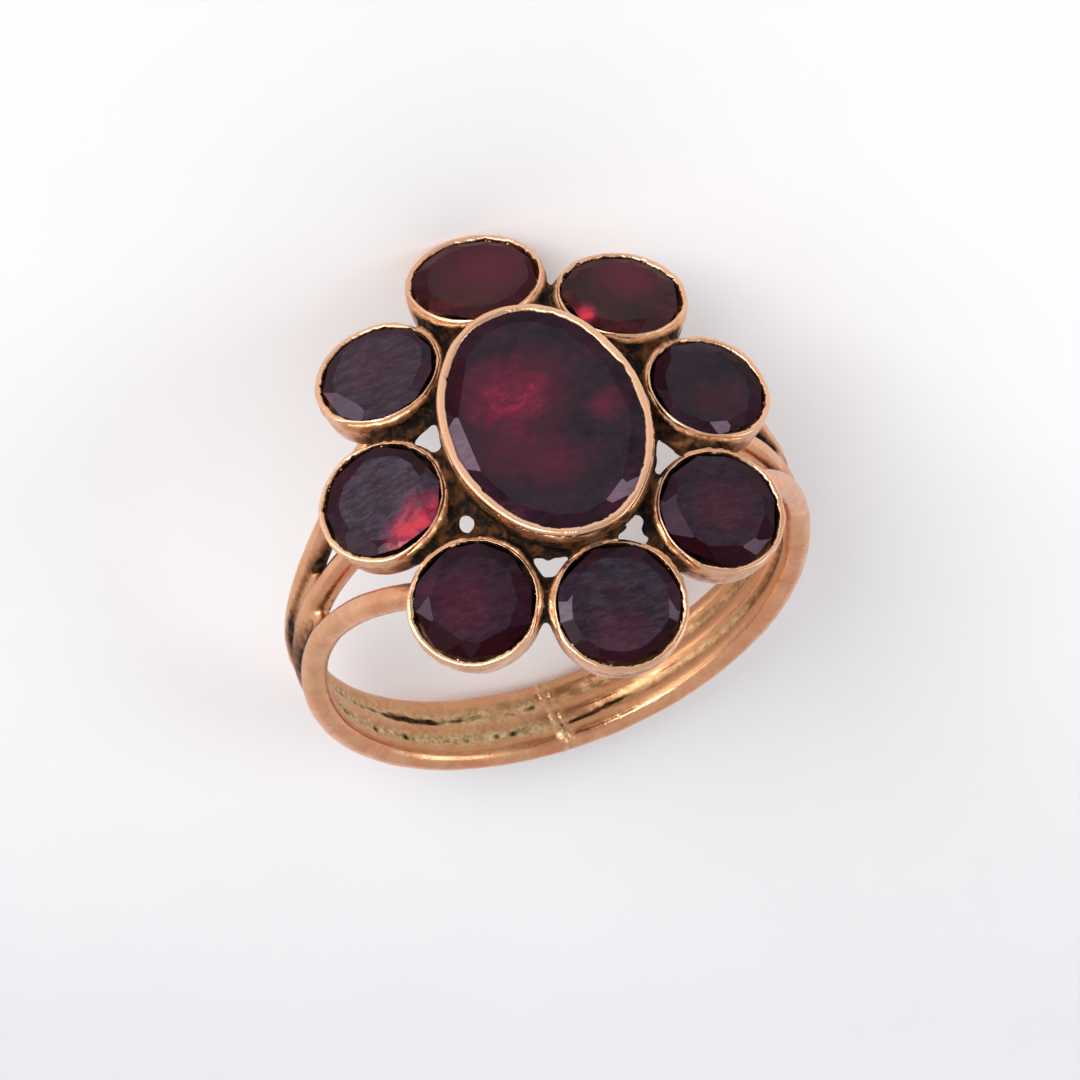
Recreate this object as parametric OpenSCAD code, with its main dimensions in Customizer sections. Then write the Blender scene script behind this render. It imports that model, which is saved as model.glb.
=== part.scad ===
// Cluster ring, lying on its side as it comes to rest by itself.
// An oval stone stands in the middle of eight round ones. Each sits in a closed collet
// whose rim is rubbed over it, and three round wires soldered side by side make the shank.
// Millimetres. The ring is drawn about its finger hole, with the finger along Y and the
// stones on top, and lay() turns it over onto the surface at z = 0.

/* [Finger hole] */
// Diameter of the finger hole
bore_d = 17; // [15:0.1:21]

/* [Wires] */
// Diameter of each of the three wires of the shank
wire_d = 0.94; // [0.8:0.02:1.3]
// Gap between neighbouring wires, which the solder closes
wire_gap = 0.02; // [0.01:0.01:0.1]
// How deep the inside of each wire is worn flat
wire_wear = 0.04; // [0.02:0.01:0.1]
// Width of the solder between two wires, along the finger
solder_w = 0.3; // [0.2:0.05:0.5]
// Height of the solder between two wires, out from the finger
solder_h = 0.55; // [0.3:0.05:0.7]
// Angle above the hoop's middle at which the front wires leave it
front_leave = -4; // [-10:1:20]
// Angle above the hoop's middle at which the back wires leave it
back_leave = 9; // [-10:1:20]
// How far a bead of solder stands out round each place where a shoulder leaves the hoop
bead_over = 0.03; // [0.02:0.01:0.1]
// Angle by which the hoop's outer wires stop short of that place, inside the bead
bead_gap = 0.4; // [0.2:0.1:1]
// How far the wires' ends lie from the middles of their collets, towards the oval stone
wire_end_in = 0.55; // [0:0.05:1]

/* [Head] */
// How far the head sits in front of the middle wire
head_forward = 0.89; // [0:0.05:1.2]
// How far the head sits to the left of the hoop's middle
head_left = 0.13; // [0:0.05:0.5]
// Gap between the finger and the round collets' backs
head_clear = 0; // [0:0.05:1]
// How far the round collets lean outward
lean = 18.5; // [10:0.5:25]
// How far the oval rim stands above the middles of the round rims
centre_rise = 1.6; // [1.2:0.1:2.2]
// How deep the oval collet sits into the middle wire
centre_sink = 0.15; // [0.05:0.05:0.3]
// Typical gap between the oval rim and a round one, seen from above
stone_gap = 0.1; // [0:0.02:0.3]

/* [Oval stone and collet] */
// Length of the oval stone that shows, along the finger
centre_l = 9.04; // [8:0.1:11]
// Width of the oval stone that shows
centre_w = 6.54; // [5.5:0.1:7.5]
// Radius of the oval's two ends
centre_end_r = 2.6; // [2.4:0.05:2.7]
// Width of the oval collet's rim
centre_lip = 0.36; // [0.3:0.02:0.6]
// Height of the oval collet's straight wall, below which it narrows like a cup
centre_wall_h = 0.8; // [0.7:0.05:1.2]
// How much that cup narrows
centre_cup = 30; // [20:1:35]
// Thickness of the oval stone
centre_t = 1.5; // [1:0.1:1.8]

/* [Round stones and collets] */
// Diameter of a round stone that shows
round_d = 4.2; // [3.6:0.1:4.6]
// Width of the round collets' rims
round_lip = 0.26; // [0.24:0.02:0.4]
// Depth of the round collets
round_h = 1.25; // [1.1:0.05:1.6]
// Height of the round collets' straight walls
round_wall_h = 0.5; // [0.4:0.05:0.8]
// How much the round collets narrow below that
round_taper = 8; // [0:1:10]
// Thickness of the round stones
round_t = 0.68; // [0.5:0.02:0.72]

/* [Collets] */
// Thickness of the collets' walls below their stones
wall = 0.2; // [0.15:0.01:0.22]
// Thickness of the collets' backs
back_t = 0.3; // [0.2:0.05:0.35]
// Radius of the rims' outer edge
rim_r = 0.15; // [0.08:0.01:0.2]
// How far a rim reaches in over the edge of its stone
rim_over = 0.1; // [0.06:0.02:0.14]
// Gap between a stone and its collet
stone_clear = 0.04; // [0.02:0.01:0.08]
// Thickness of the solder that joins neighbouring collets
web_d = 0.7; // [0.4:0.05:0.8]
// Depth of that solder below the round rims
web_depth = 0.55; // [0.4:0.05:0.8]

/* [Cut of the stones] */
// How far the tables lie below the rims
table_drop = 0.05; // [0:0.01:0.1]
// Height of the sloping facets above a round stone's edge
round_crown = 0.33; // [0.25:0.01:0.4]
// Height of the sloping facets above the oval stone's edge
centre_crown = 0.45; // [0.35:0.01:0.55]
// Height of the edge between the upper and lower facets
girdle = 0.06; // [0.03:0.01:0.1]

/* [Hidden] */
$fn = 96;
eps = 0.01;

// The round stones from the far side of the finger round to the right. The angle is seen from
// above, the gap is in typical gaps, the size in typical diameters and the turn is of its facets.
ANGLE = 0;
GAP = 1;
SIZE = 2;
TURN = 3;
STONES = [
    [91, 0.6, 1.05, 4],
    [48, 2.2, 1.0, 11],
    [3, 2.0, 0.97, 20],
    [-44, 2.2, 1.01, 7],
    [-88, -1.1, 1.02, 0],
    [-130, 3.8, 1.0, 15],
    [-177, 1.9, 1.0, 9],
    [134, 1.6, 0.99, 2]];
// The stones that the ends of the wires reach, and the one that the ring lies on
FRONT_LEFT = 5;
FRONT_RIGHT = 3;
BACK_LEFT = 7;
BACK_RIGHT = 1;
LIES_ON = 0;

round_facets = 12;
centre_facets = 16;
round_table = 0.8;
centre_table = 0.82;
culet_share = 0.5;

wire_r = wire_d / 2;
hoop_r = bore_d / 2 - wire_wear + wire_r;
pitch = wire_d + wire_gap;
head = [-head_left, -head_forward];

// Sizes of round collet i: what shows of its stone, its rim, its back and its middle
function open_r(i) = round_d * STONES[i][SIZE] / 2;
function rim_out(i) = open_r(i) + round_lip;
function back_r(i) = rim_out(i) - (round_h - round_wall_h) * tan(round_taper);
rim_z = bore_d / 2 + head_clear + round_h * cos(lean) + back_r(4) * sin(lean);
centre_z = rim_z + centre_rise;
centre_h = centre_z - (hoop_r + wire_r - centre_sink);
// The middle of the ring's weight lies this share of the way from the finger to the head's back
head_weight = 0.56;
weight_middle = head_weight * [head[0], head[1], rim_z - round_h];

// The oval is four arcs. A point is found from the direction in which it faces.
end_shift = centre_l / 2 - centre_end_r;
side_r = (pow(end_shift, 2) + pow(centre_w / 2, 2) - pow(centre_end_r, 2)) / (centre_w - 2 * centre_end_r);
side_shift = side_r - centre_w / 2;
side_half = atan2(end_shift, side_shift);
oval_sides = 64;
function faces_side(f) = abs(sin(f)) < sin(side_half);
function oval_point(f, out) = faces_side(f)
    ? [(side_r + out) * cos(f) - sign(cos(f)) * side_shift, (side_r + out) * sin(f)]
    : [(centre_end_r + out) * cos(f), (centre_end_r + out) * sin(f) + sign(sin(f)) * end_shift];
function oval(out, n, turn = 0) = [for (k = [0:n - 1]) oval_point((k + turn) * 360 / n, out)];
// Half the breadth of the oval collet in direction a, as if it were an ellipse
function oval_reach(a) = let (l = centre_l / 2 + centre_lip, w = centre_w / 2 + centre_lip)
    1 / sqrt(pow(cos(a) / w, 2) + pow(sin(a) / l, 2));

// Where round stone i is: its middle at the rim, and the direction in which it faces
function reach(i) = oval_reach(STONES[i][ANGLE]) + stone_gap * STONES[i][GAP] + rim_out(i) * cos(lean);
function spot(i) = [head[0] + reach(i) * cos(STONES[i][ANGLE]), head[1] + reach(i) * sin(STONES[i][ANGLE]), rim_z];
function facing(i) = let (a = STONES[i][ANGLE]) [sin(lean) * cos(a), sin(lean) * sin(a), cos(lean)];

function unit(v) = v / norm(v);

// The outermost point in direction n of a round rim, and of the hoop's outer wires
function rim_end(i, n) = let (f = facing(i))
    spot(i) - rim_r * f + (rim_out(i) - rim_r) * unit(n - (n * f) * f) + rim_r * unit(n);
function hoop_end(n) = hoop_r * unit([n[0], 0, n[2]]) + [0, sign(n[1]) * pitch, 0] + wire_r * unit(n);

// The ring rests on one rim and the hoop. Both reach as far down, and the middle of its weight
// is above the line from one to the other. A few Newton steps find that direction, [a, 1, b].
function uneven(v) = let (n = [v[0], 1, v[1]], a = rim_end(LIES_ON, n), b = hoop_end(n))
    [(a - b) * n, cross(b - a, weight_middle - a) * n];
function newton(v, steps) = steps == 0 ? v :
    let (
        f = uneven(v),
        fa = (uneven(v + [eps, 0]) - f) / eps,
        fb = (uneven(v + [0, eps]) - f) / eps,
        det = fa[0] * fb[1] - fb[0] * fa[1])
    newton(v - [f[0] * fb[1] - f[1] * fb[0], fa[0] * f[1] - fa[1] * f[0]] / det, steps - 1);
level = newton([0, -0.4], 12);
down = unit([level[0], 1, level[1]]);
up = -down;
// Lying down, the head points to the front, which is -Y
back = unit(-[0, 0, 1] + (up * [0, 0, 1]) * up);
right = cross(back, up);
function rim_reaches(n) = [for (i = [0:len(STONES) - 1]) rim_end(i, n) * n];
function middle_of(n) = (max(concat(rim_reaches(n), hoop_end(n) * n))
    - max(concat(rim_reaches(-n), -hoop_end(-n) * n))) / 2;

module lay() {
    multmatrix([
        [right[0], right[1], right[2], -middle_of(right)],
        [back[0], back[1], back[2], -middle_of(back)],
        [up[0], up[1], up[2], hoop_end(down) * down],
        [0, 0, 0, 1]])
        children();
}

module at_stone(i) {
    translate(spot(i))
        rotate([0, lean, STONES[i][ANGLE]])
            children();
}

// A round collet's outside and the hollow for its stone, as outlines from its middle axis outwards.
// Its wall is straight at first and then narrows.
module collet_outside(open) {
    out = open + round_lip;
    rim = [for (a = [0:22.5:90]) [out - rim_r + rim_r * cos(a), rim_r * sin(a) - rim_r]];
    low = out - (round_h - round_wall_h) * tan(round_taper);
    polygon(concat([[0, -round_h], [low, -round_h], [out, -round_wall_h]], rim, [[0, 0]]));
}
module collet_hollow(open) {
    seat = open + rim_over;
    foot = hollow_foot(open, round_lip, round_h, round_wall_h, round_taper);
    polygon([[0, eps], [open + rim_r / 2, eps], [open, -rim_r / 2], [seat, -2 * rim_over],
        [seat, -seat_depth(round_crown)], [foot, back_t - round_h], [0, back_t - round_h]]);
}
function hollow_foot(open, lip, h, straight, narrow) =
    min(open + rim_over, open + lip - wall - (h - back_t - straight) * tan(narrow));
// Depth of the lower edge of a stone's girdle below the rim, with room for the stone
function seat_depth(crown) = table_drop + crown + girdle + stone_clear;

// A solid from ovals one below the other. Each ring is how far out from the opening, and its height.
module oval_rings(rings) {
    n = oval_sides;
    last = (len(rings) - 1) * n;
    points = [for (r = rings) each [for (p = oval(r[0], n)) [p[0], p[1], r[1]]]];
    sides = [for (i = [0:len(rings) - 2], k = [0:n - 1]) let (a = i * n + k, b = i * n + (k + 1) % n)
        each [[a, b, b + n], [a, b + n, a + n]]];
    polyhedron(points, concat([[for (k = [n - 1:-1:0]) k]], sides, [[for (k = [0:n - 1]) last + k]]));
}
module oval_solid() {
    oval_rings(concat(
        [for (a = [90:-30:0]) [centre_lip - rim_r + rim_r * cos(a), rim_r * sin(a) - rim_r]],
        [[centre_lip, -centre_wall_h],
        [centre_lip - (centre_h - centre_wall_h) * tan(centre_cup), -centre_h]]));
}
module oval_hollow() {
    oval_rings([
        [rim_r / 2, eps],
        [0, -rim_r / 2],
        [rim_over, -2 * rim_over],
        [rim_over, -seat_depth(centre_crown)],
        [hollow_foot(0, centre_lip, centre_h, centre_wall_h, centre_cup), back_t - centre_h]]);
}

module at_centre() {
    translate([head[0], head[1], centre_z])
        children();
}

// A wire of the shoulder: an arc that leaves the hoop without a kink and ends under collet i.
// side is -1 on the left and 1 on the right.
module shoulder(side, y, leave, i) {
    start = [side * hoop_r * cos(leave), y, hoop_r * sin(leave)];
    along = [-side * sin(leave), 0, cos(leave)];
    to_centre = -[cos(STONES[i][ANGLE]), sin(STONES[i][ANGLE]), 0];
    end = spot(i) - (round_h - back_t / 2) * facing(i) + wire_end_in * to_centre;
    chord = end - start;
    inward = unit(chord - (chord * along) * along);
    radius = chord * chord / (2 * (chord * inward));
    turn = 2 * atan2(chord * inward, chord * along);
    axis = cross(-inward, along);
    middle = start + radius * inward;
    multmatrix([
        [-inward[0], along[0], axis[0], middle[0]],
        [-inward[1], along[1], axis[1], middle[1]],
        [-inward[2], along[2], axis[2], middle[2]],
        [0, 0, 0, 1]])
        rotate_extrude(angle = turn)
            translate([radius, 0])
                circle(wire_r);
}

// A wire's outline, with the side towards the finger worn flat
module worn_wire() {
    difference() {
        circle(wire_r);
        translate([wire_wear - 2 * wire_d - wire_r, -wire_d])
            square(2 * wire_d);
    }
}
// Sweeps an outline along the stretch where an outer wire lies against the middle one
module hoop_arc(y, leave) {
    translate([0, y, 0])
        rotate([90, 0, 0])
            rotate(180 - leave + bead_gap)
                rotate_extrude(angle = 180 + 2 * leave - 2 * bead_gap)
                    translate([hoop_r, 0])
                        children();
}
// Three wires side by side, soldered. The middle one goes all the way round.
module shank() {
    rotate([90, 0, 0])
        rotate_extrude()
            translate([hoop_r, 0])
                worn_wire();
    for (row = [[-1, front_leave], [1, back_leave]]) {
        hoop_arc(row[0] * pitch, row[1])
            worn_wire();
        hoop_arc(row[0] * pitch / 2, row[1])
            square([solder_h, solder_w], center = true);
    }
    shoulder(-1, -pitch, front_leave, FRONT_LEFT);
    shoulder(1, -pitch, front_leave, FRONT_RIGHT);
    shoulder(-1, pitch, back_leave, BACK_LEFT);
    shoulder(1, pitch, back_leave, BACK_RIGHT);
    for (side = [-1, 1], row = [[-1, front_leave], [1, back_leave]])
        translate([side * hoop_r * cos(row[1]), row[0] * pitch, hoop_r * sin(row[1])])
            sphere(wire_r + bead_over);
}

// A bar of solder from one point to another
module web(a, b) {
    d = b - a;
    translate(a)
        rotate([0, acos(d[2] / norm(d)), atan2(d[1], d[0])])
            cylinder(h = norm(d), d = web_d);
}
// The bars start and end just inside the collets' outsides
web_in = 0.35;
function web_root(i) = spot(i) - web_depth * facing(i);
module web_between(i, j) {
    d = unit(web_root(j) - web_root(i));
    web(web_root(i) + (rim_out(i) - web_in) * d, web_root(j) - (rim_out(j) - web_in) * d);
}
module web_to_centre(i) {
    a = STONES[i][ANGLE];
    start = web_root(i) - (rim_out(i) - web_in) * [cos(lean) * cos(a), cos(lean) * sin(a), -sin(lean)];
    narrowing = max(0, centre_z - start[2] - centre_wall_h) * tan(centre_cup);
    r = oval_reach(a) - narrowing - web_in;
    web(start, [head[0] + r * cos(a), head[1] + r * sin(a), start[2]]);
}
module webs() {
    n = len(STONES);
    for (i = [0:n - 1]) {
        web_between(i, (i + 1) % n);
        web_to_centre(i);
    }
}

module mount() {
    difference() {
        union() {
            shank();
            webs();
            for (i = [0:len(STONES) - 1])
                at_stone(i)
                    rotate_extrude()
                        collet_outside(open_r(i));
            at_centre()
                oval_solid();
        }
        for (i = [0:len(STONES) - 1])
            at_stone(i)
                rotate_extrude()
                    collet_hollow(open_r(i));
        at_centre()
            oval_hollow();
    }
}

// A flat-cut stone from four rings of n points: the table, both edges of the girdle, the back
module cut_stone(table, edge, back, top, crown, thick) {
    n = len(table);
    points = concat(
        [for (p = table) [p[0], p[1], top]],
        [for (p = edge) [p[0], p[1], top - crown]],
        [for (p = edge) [p[0], p[1], top - crown - girdle]],
        [for (p = back) [p[0], p[1], top - thick]]);
    upper = [for (k = [0:n - 1]) let (m = (k + 1) % n) each [[k, m, n + k], [m, n + m, n + k]]];
    belt = [for (k = [0:n - 1]) let (m = (k + 1) % n) [n + k, n + m, 2 * n + m, 2 * n + k]];
    lower = [for (k = [0:n - 1]) let (m = (k + 1) % n)
        each [[2 * n + k, 2 * n + m, 3 * n + m], [2 * n + k, 3 * n + m, 3 * n + k]]];
    polyhedron(points, concat([[for (k = [n - 1:-1:0]) k]], upper, belt, lower, [[for (k = [0:n - 1]) 3 * n + k]]));
}
function ring_of(r, n, turn) = [for (k = [0:n - 1]) r * [cos((k + turn) * 360 / n), sin((k + turn) * 360 / n)]];

module round_stone(i) {
    n = round_facets;
    edge_r = open_r(i) + rim_over - stone_clear;
    at_stone(i)
        rotate(STONES[i][TURN])
            cut_stone(
                ring_of(round_table * open_r(i), n, 0),
                ring_of(edge_r, n, 0.5),
                ring_of(culet_share * edge_r, n, 0.5),
                -table_drop, round_crown, round_t);
}

module oval_stone() {
    n = centre_facets;
    out = rim_over - stone_clear;
    at_centre()
        cut_stone(
            oval(-(1 - centre_table) * centre_w / 2, n),
            oval(out, n, 0.5),
            oval(-culet_share * centre_w / 2, n, 0.5),
            -table_drop, centre_crown, centre_t);
}

module gold_mount_node() {
    color("#c8916a")
        lay()
            mount();
}
module oval_stone_node() {
    color("#3c2332")
        lay()
            oval_stone();
}
module round_stone_node(i) {
    color("#4a1c28")
        lay()
            round_stone(i);
}

gold_mount_node();  // gold_mount
oval_stone_node();  // oval_stone
round_stone_node(0);  // round_stone_1
round_stone_node(1);  // round_stone_2
round_stone_node(2);  // round_stone_3
round_stone_node(3);  // round_stone_4
round_stone_node(4);  // round_stone_5
round_stone_node(5);  // round_stone_6
round_stone_node(6);  // round_stone_7
round_stone_node(7);  // round_stone_8
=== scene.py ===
"""Looks of the cluster ring: worn rose gold, rubbed rims, solder, tarnish and flat-cut garnets.

The ring is drawn in millimetres about its finger hole, with the finger along Y and the stones
on top, and laid on its side as part.scad lays it. Everything handed to Blender is in metres.
"""

from math import atan2, cos, degrees, pi, radians, sin, sqrt, tan

import bmesh
import bpy
import numpy as np
from mathutils import Matrix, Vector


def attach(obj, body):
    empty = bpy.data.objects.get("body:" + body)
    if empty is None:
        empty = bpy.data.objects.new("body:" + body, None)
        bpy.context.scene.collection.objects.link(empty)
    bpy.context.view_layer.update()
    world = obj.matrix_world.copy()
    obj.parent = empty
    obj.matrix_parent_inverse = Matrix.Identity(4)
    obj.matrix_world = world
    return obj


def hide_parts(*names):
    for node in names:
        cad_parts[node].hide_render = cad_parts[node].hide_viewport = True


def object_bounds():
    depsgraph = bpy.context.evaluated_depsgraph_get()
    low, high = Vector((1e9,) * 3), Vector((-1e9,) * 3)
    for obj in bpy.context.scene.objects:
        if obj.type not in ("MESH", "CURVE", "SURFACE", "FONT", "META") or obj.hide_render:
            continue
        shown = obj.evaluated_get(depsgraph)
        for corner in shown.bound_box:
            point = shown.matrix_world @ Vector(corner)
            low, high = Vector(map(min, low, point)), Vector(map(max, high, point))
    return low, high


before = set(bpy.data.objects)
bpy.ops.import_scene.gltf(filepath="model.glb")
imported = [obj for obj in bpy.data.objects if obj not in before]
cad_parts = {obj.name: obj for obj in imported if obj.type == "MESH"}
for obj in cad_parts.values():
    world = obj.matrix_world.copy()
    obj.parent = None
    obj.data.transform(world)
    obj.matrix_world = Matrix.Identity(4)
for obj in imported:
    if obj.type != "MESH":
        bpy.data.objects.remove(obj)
cad_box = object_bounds()

# ---- sizes, as in part.scad
WIRE_R = 0.47
HOOP_R = 8.5 - 0.04 + WIRE_R
PITCH = 0.96
WEAR_R = 8.5
HEAD = np.array([-0.13, -0.89])
LEAN = radians(18.5)
RIM_Z = 10.4141
CENTRE_Z = 12.0141
CENTRE_H = CENTRE_Z - (HOOP_R + WIRE_R - 0.15)
STONE_GAP = 0.1
LIP = 0.26
ROUND_H = 1.25
WALL_H = 0.5
TAPER = radians(8)
BACK_T = 0.3
WIRE_END_IN = 0.55
LEAVE = {-1: radians(-4), 1: radians(9)}
CENTRE_L, CENTRE_W, END_R, CENTRE_LIP = 9.04, 6.54, 2.6, 0.36
CENTRE_WALL_H, CENTRE_CUP = 0.8, radians(30)
# angle seen from above in degrees, gap in typical gaps, opening's radius
STONES = [
    (91, 0.6, 2.1 * 1.05),
    (48, 2.2, 2.1 * 1.00),
    (3, 2.0, 2.1 * 0.97),
    (-44, 2.2, 2.1 * 1.01),
    (-88, -1.1, 2.1 * 1.02),
    (-130, 3.8, 2.1 * 1.00),
    (-177, 1.9, 2.1 * 1.00),
    (134, 1.6, 2.1 * 0.99)]
# shoulder wires: side, row, stone whose collet it ends under
SHOULDERS = [(-1, -1, 5), (1, -1, 3), (-1, 1, 7), (1, 1, 1)]

# only in the looks: solder that bridges neighbouring collets, and that fills the shoulders' forks
BRIDGE_R, BRIDGE_DOWN, BRIDGE_IN = 0.26, 0.62, 0.3
WEB_R, WEB_BARS = 0.27, 7
# how far along each shoulder the fork is filled: side, row
WEB = {(-1, -1): 0.3, (-1, 1): 0.26, (1, -1): 0.16, (1, 1): 0.14}
# wear and marks on the hoop's inside end at this height
HOOP_TOP = 3
# stones: height of their tables over the rims, thickness, and how far they reach under the rims
TABLE_Z = 0.07
ROUND_THICK, OVAL_THICK = 0.66, 1.48
ROUND_UNDER, OVAL_UNDER = 0.11, 0.1
# points round a wire, along a shoulder, the hoop and the middle wire, and round the collets
WIRE_SIDES, SHOULDER_STEPS, HOOP_STEPS, MIDDLE_STEPS = 28, 110, 380, 500
ROUND_STEPS, OVAL_STEPS = 420, 640

# how part.scad lays the ring down: rows right, back, up, then where the finger hole's middle is
LAY = np.array([[-0.999693, 0.0247602, 0.0],
                [-0.00901045, -0.363797, -0.931435],
                [-0.0230625, -0.931149, 0.363908]])
HOLE_AT = np.array([0.0, 1.5016, 4.62012])


def to_part(p):
    """Millimetres about the finger hole to metres in the part's frame."""
    return (np.asarray(p, float) @ LAY.T + HOLE_AT) / 1000


# The fit to the photograph: its camera's turn about the finger hole, how far off it is, and the
# finger hole's place in the picture, in pixels of the 1080 frame from its middle
CAMERA_TURN = np.array([-0.56319, 0.07342, 0.32742])
FOCAL_PX = 12000
PX_PER_MM = 28.5
HOLE_PX = (7.5, -43.6)


def turn_matrix(v):
    angle = np.linalg.norm(v)
    x, y, z = v / angle
    k = np.array([[0, -z, y], [z, 0, -x], [-y, x, 0]])
    return np.eye(3) + sin(angle) * k + (1 - cos(angle)) * k @ k


CAM_RIGHT, CAM_UP, CAM_AWAY = turn_matrix(CAMERA_TURN)


# ---- small helpers
def unit(v):
    v = np.asarray(v, float)
    return v / np.linalg.norm(v)


def spun(deg, r, z):
    """The point at angle deg, distance r from the middle and height z."""
    a = radians(deg)
    return np.array([r * cos(a), r * sin(a), z])


def circle(n):
    """n angles round a circle."""
    return np.linspace(0, 2 * pi, n, endpoint=False)


def held(x):
    """x, held between 0 and 1."""
    return np.clip(x, 0, 1)


def weighed(f, corner):
    """Mix of a cell's eight corner values at the place f in it."""
    out = 0
    for d in np.ndindex(2, 2, 2):
        w = [f[..., k] if d[k] else 1 - f[..., k] for k in range(3)]
        out = out + w[0] * w[1] * w[2] * corner(*d)
    return out


class Noise:
    """Smooth random values over space, the same each run."""
    SIZE = 32

    def __init__(self, seed):
        self.table = np.random.default_rng(seed).random((self.SIZE,) * 3) * 2 - 1

    def __call__(self, p, size):
        q = np.asarray(p, float) / size
        i = np.floor(q).astype(int)
        f = q - i
        f = f * f * (3 - 2 * f)
        return weighed(f, lambda *d: self.table[tuple((i[..., k] + d[k]) % self.SIZE for k in range(3))])


noise_a, noise_b, noise_c = Noise(3), Noise(7), Noise(11)


def around(phi, seed, sharp=1.0):
    """A wobble round a closed rim, in -1 to 1."""
    p = np.stack([np.cos(phi) * 2.1, np.sin(phi) * 2.1, np.full_like(phi, seed * 3.7)], -1)
    return noise_a(p, 1.3 / sharp)


END_SHIFT = CENTRE_L / 2 - END_R
SIDE_R = (END_SHIFT * END_SHIFT + (CENTRE_W / 2) ** 2 - END_R ** 2) / (CENTRE_W - 2 * END_R)
SIDE_SHIFT = SIDE_R - CENTRE_W / 2
SIDE_HALF = atan2(END_SHIFT, SIDE_SHIFT)


def oval_point(f, out):
    """Points of the four-arc oval from the directions in which they face."""
    c, s = np.cos(f), np.sin(f)
    side = np.abs(s) < sin(SIDE_HALF)
    x = np.where(side, (SIDE_R + out) * c - np.sign(c) * SIDE_SHIFT, (END_R + out) * c)
    y = np.where(side, (SIDE_R + out) * s, (END_R + out) * s + np.sign(s) * END_SHIFT)
    return x, y


def oval_reach(deg):
    """From the head's middle to about the oval collet's outside, in direction deg."""
    x, y, _ = spun(deg, 1, 0)
    return 1 / sqrt((x / (CENTRE_W / 2 + CENTRE_LIP)) ** 2 + (y / (CENTRE_L / 2 + CENTRE_LIP)) ** 2)


def stone_place(i):
    """Middle of round rim i, and its axes as columns: out, along the rim, facing."""
    deg, gap, open_r = STONES[i]
    r = oval_reach(deg) + STONE_GAP * gap + (open_r + LIP) * cos(LEAN)
    out = spun(deg, cos(LEAN), -sin(LEAN))
    facing = spun(deg, sin(LEAN), cos(LEAN))
    return spun(deg, r, RIM_Z) + [*HEAD, 0], np.stack([out, np.cross(facing, out), facing], 1)


PLACES = [stone_place(i) for i in range(8)]
CENTRE_AT = np.array([*HEAD, CENTRE_Z])


def shoulder_arc(side, row, stone):
    """The circle arc of a shoulder: its middle, axes (start, along, across), radius and turn."""
    leave = LEAVE[row]
    start = np.array([side * HOOP_R * cos(leave), row * PITCH, HOOP_R * sin(leave)])
    along = np.array([-side * sin(leave), 0, cos(leave)])
    spot, axes = PLACES[stone]
    end = spot - (ROUND_H - BACK_T / 2) * axes[:, 2] - WIRE_END_IN * spun(STONES[stone][0], 1, 0)
    chord = end - start
    inward = unit(chord - (chord @ along) * along)
    radius = chord @ chord / (2 * (chord @ inward))
    turn = 2 * atan2(chord @ inward, chord @ along)
    return start + radius * inward, np.stack([-inward, along, np.cross(-inward, along)], 1), radius, turn


ARCS = {(s[0], s[1]): shoulder_arc(*s) for s in SHOULDERS}


# ---- distances, in millimetres
def arc_distance(p, middle, axes, radius, turn):
    """Distance from a wire along a circle arc."""
    q = (p - middle) @ axes
    ang = np.arctan2(q[..., 1], q[..., 0])
    mid = turn / 2
    ang = mid + np.clip((ang - mid + pi) % (2 * pi) - pi, -mid, mid)
    on = np.stack([radius * np.cos(ang), radius * np.sin(ang), np.zeros_like(ang)], -1)
    return np.linalg.norm(q - on, axis=-1) - WIRE_R


def hoop_row(row):
    """An outer wire's stretch along the hoop, as an arc like a shoulder's."""
    leave = LEAVE[row]
    start = np.array([cos(leave), 0, sin(leave)])
    along = np.array([sin(leave), 0, -cos(leave)])
    axes = np.stack([start, along, np.cross(start, along)], 1)
    return np.array([0, row * PITCH, 0.0]), axes, HOOP_R, pi + 2 * leave


def ring_distance(p):
    """Distance from the middle wire."""
    r = np.hypot(p[..., 0], p[..., 2]) - HOOP_R
    return np.hypot(r, p[..., 1]) - WIRE_R


def round_distance(p, i):
    """Distance from round collet i, below its rim."""
    spot, axes = PLACES[i]
    q = (p - spot) @ axes
    r = np.hypot(q[..., 0], q[..., 1])
    out = STONES[i][2] + LIP
    wall = np.maximum(r - out, (r - out) * cos(TAPER) - (q[..., 2] + WALL_H) * sin(TAPER))
    return np.maximum(np.maximum(wall, q[..., 2] + 0.12), -q[..., 2] - ROUND_H)


def oval_side(q):
    """Distance from the oval collet's straight wall, seen from above."""
    x, y = np.abs(q[..., 0]), np.abs(q[..., 1])
    at_end = x * sin(SIDE_HALF) < (y - END_SHIFT) * cos(SIDE_HALF)
    return np.where(at_end, np.hypot(x, y - END_SHIFT) - END_R, np.hypot(x + SIDE_SHIFT, y) - SIDE_R) - CENTRE_LIP


def oval_distance(p):
    """Distance from the oval collet, below its rim."""
    q = p - CENTRE_AT
    d = oval_side(q)
    wall = np.maximum(d, d * cos(CENTRE_CUP) - (q[..., 2] + CENTRE_WALL_H) * sin(CENTRE_CUP))
    return np.maximum(np.maximum(wall, q[..., 2] + 0.15), -q[..., 2] - CENTRE_H)


def bar_distance(p, a, b, r):
    ab = b - a
    t = held(((p - a) @ ab) / (ab @ ab))
    return np.linalg.norm(p - a - t[..., None] * ab, axis=-1) - r


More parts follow.
